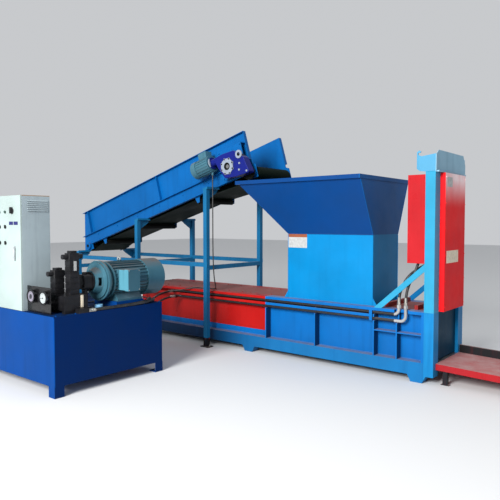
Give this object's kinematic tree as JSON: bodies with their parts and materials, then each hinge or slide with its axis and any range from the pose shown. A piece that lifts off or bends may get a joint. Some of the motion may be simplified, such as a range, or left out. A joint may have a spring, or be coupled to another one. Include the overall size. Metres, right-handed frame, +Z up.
{
  "type": "horizontal recycling baler",
  "caption": "Horizontal hydraulic baler with a flared feed hopper, inclined belt conveyor, lift-gate tower, discharge table and a separate power unit with its control cabinet.",
  "frame": {"origin": "centre of the press's four corner anchor holes, on the floor", "axes": "+X towards the discharge table, -Y towards the operator and the power unit, +Z up"},
  "size_m": [7.6124, 3.9853, 2.999],
  "materials": {
    "blue_paint": "bright blue enamel with dust and rubbed edges",
    "navy_paint": "deep blue enamel",
    "light_blue_paint": "light blue enamel sheet",
    "red_paint": "glossy red enamel",
    "deck_paint": "red deck paint faded by dust",
    "bare_steel": "rolled and turned steel",
    "chromed_steel": "hard chromed rod",
    "black_steel": "black enamel",
    "cast_black": "black cast blocks",
    "motor_paint": "grey-green machine enamel",
    "gearbox_paint": "royal blue enamel",
    "belt_rubber": "dark green conveyor belt",
    "hose_rubber": "black hydraulic hose",
    "cable_rubber": "black cable sheath",
    "cabinet_paint": "white powder coat",
    "control_black": "black moulded plastic",
    "control_green": "dark green push button",
    "handle_grey": "grey handle",
    "cap_blue": "light blue filler cap"
  },
  "bodies": {
    "frame": {"bale_table": "deck_paint", "bell_housing": "motor_paint", "cabinet_body": "cabinet_paint", "chamber_floor": "bare_steel", "conveyor_belt": "belt_rubber", "conveyor_far_side": "light_blue_paint", "conveyor_near_side": "light_blue_paint", "device_plate": "bare_steel", "drive_chain": "bare_steel", "far_column": "light_blue_paint", "far_side_frame": "blue_paint", "far_stand": "blue_paint", "feed_box": "blue_paint", "front_deck": "deck_paint", "front_guard": "red_paint", "gate_cylinder": "black_steel", "gauge_panel": "black_steel", "gear_cable": "cable_rubber", "gear_motor": "motor_paint", "gearbox": "gearbox_paint", "hopper": "blue_paint", "hydraulic_pump": "cast_black", "motor_base": "navy_paint", "near_column": "light_blue_paint", "near_side_frame": "blue_paint", "near_stand": "blue_paint", "oil_tank": "navy_paint", "power_hoses": "hose_rubber", "pump_motor": "motor_paint", "ram_cylinder": "black_steel", "rear_deck": "deck_paint", "rear_panels": "red_paint", "side_guards": "red_paint", "side_pipes": "black_steel", "slider_bed": "bare_steel", "stand_crossbars": "navy_paint", "tower_head": "navy_paint", "tower_hoses": "hose_rubber", "valve_manifold": "cast_black"},
    "ram_carriage": {"ram": "bare_steel", "ram_rod": "chromed_steel"},
    "gate_slide": {"gate": "navy_paint", "gate_rod": "chromed_steel"},
    "head_drum_shaft": {"head_drum": "bare_steel"},
    "tail_drum_shaft": {"tail_drum": "bare_steel"},
    "output_sprocket": {"drive_sprocket": "bare_steel"},
    "roller_1": {"return_roller_1": "bare_steel"},
    "roller_2": {"return_roller_2": "bare_steel"},
    "roller_3": {"return_roller_3": "bare_steel"},
    "pump_rotor": {"motor_shaft": "bare_steel"},
    "tank_cap": {"filler_cap": "cap_blue"},
    "door": {"cabinet_door": "cabinet_paint"},
    "handle": {"door_handle": "handle_grey"},
    "switch_main": {"main_switch": "control_black"},
    "knob_1": {"selector_1": "control_black"},
    "knob_2": {"selector_2": "control_black"},
    "knob_3": {"selector_3": "control_black"},
    "knob_4": {"selector_4": "control_black"},
    "button_1": {"push_button_1": "control_green"},
    "button_2": {"push_button_2": "control_green"}
  },
  "joints": [
    {"name": "ram_stroke", "type": "slide", "parent": "frame", "child": "ram_carriage", "axis": [1, 0, 0], "range_m": [0, 1.5]},
    {"name": "gate_lift", "type": "slide", "parent": "frame", "child": "gate_slide", "axis": [0, 0, 1], "range_m": [0, 0.56]},
    {"name": "head_drum_spin", "type": "hinge", "parent": "frame", "child": "head_drum_shaft", "pos_m": [-0.09901, 0, 2.42266], "axis": [0, 1, 0], "continuous": true},
    {"name": "output_spin", "type": "hinge", "parent": "frame", "child": "output_sprocket", "pos_m": [-0.35723, 0, 2.51217], "axis": [0, 1, 0], "continuous": true},
    {"name": "tail_drum_spin", "type": "hinge", "parent": "frame", "child": "tail_drum_shaft", "pos_m": [-3.81534, 0, 1.34297], "axis": [0, 1, 0], "continuous": true},
    {"name": "roller_1_spin", "type": "hinge", "parent": "frame", "child": "roller_1", "pos_m": [-1.12605, 0, 2.06877], "axis": [0, 1, 0], "continuous": true},
    {"name": "roller_2_spin", "type": "hinge", "parent": "frame", "child": "roller_2", "pos_m": [-2.43878, 0, 1.68739], "axis": [0, 1, 0], "continuous": true},
    {"name": "roller_3_spin", "type": "hinge", "parent": "frame", "child": "roller_3", "pos_m": [-3.36354, 0, 1.41872], "axis": [0, 1, 0], "continuous": true},
    {"name": "pump_motor_spin", "type": "hinge", "parent": "frame", "child": "pump_rotor", "pos_m": [-0.55, -2.3, 1.108], "axis": [0, 1, 0], "continuous": true},
    {"name": "filler_cap_turn", "type": "hinge", "parent": "frame", "child": "tank_cap", "pos_m": [-0.383, -2.68, 0.83], "axis": [0, 0, 1], "range_deg": [0, 90]},
    {"name": "door_hinge", "type": "hinge", "parent": "frame", "child": "door", "pos_m": [-1.59, -3.272, 1.43], "axis": [0, 0, -1], "range_deg": [0, 110]},
    {"name": "handle_turn", "type": "hinge", "parent": "door", "child": "handle", "pos_m": [-0.995, -3.29, 1.488], "axis": [0, 1, 0], "range_deg": [0, 90]},
    {"name": "main_switch_turn", "type": "hinge", "parent": "door", "child": "switch_main", "pos_m": [-1.043, -3.3, 1.876], "axis": [0, 1, 0], "range_deg": [0, 90]},
    {"name": "selector_1_turn", "type": "hinge", "parent": "door", "child": "knob_1", "pos_m": [-1.31, -3.3, 1.704], "axis": [0, 1, 0], "range_deg": [0, 90]},
    {"name": "selector_2_turn", "type": "hinge", "parent": "door", "child": "knob_2", "pos_m": [-1.19, -3.3, 1.704], "axis": [0, 1, 0], "range_deg": [0, 90]},
    {"name": "selector_3_turn", "type": "hinge", "parent": "door", "child": "knob_3", "pos_m": [-1.31, -3.3, 1.53], "axis": [0, 1, 0], "range_deg": [0, 90]},
    {"name": "selector_4_turn", "type": "hinge", "parent": "door", "child": "knob_4", "pos_m": [-1.19, -3.3, 1.53], "axis": [0, 1, 0], "range_deg": [0, 90]},
    {"name": "push_button_1_press", "type": "slide", "parent": "door", "child": "button_1", "axis": [0, 1, 0], "range_m": [0, 0.005], "stiffness_N_per_m": 400, "springref_m": -0.001},
    {"name": "push_button_2_press", "type": "slide", "parent": "door", "child": "button_2", "axis": [0, 1, 0], "range_m": [0, 0.005], "stiffness_N_per_m": 400, "springref_m": -0.001}
  ],
  "couplings": [
    {"joint": "output_spin", "follows": "head_drum_spin", "ratio": 1.4615},
    {"joint": "tail_drum_spin", "follows": "head_drum_spin", "ratio": 1},
    {"joint": "roller_1_spin", "follows": "head_drum_spin", "ratio": -2.5},
    {"joint": "roller_2_spin", "follows": "head_drum_spin", "ratio": -2.5},
    {"joint": "roller_3_spin", "follows": "head_drum_spin", "ratio": -2.5}
  ]
}
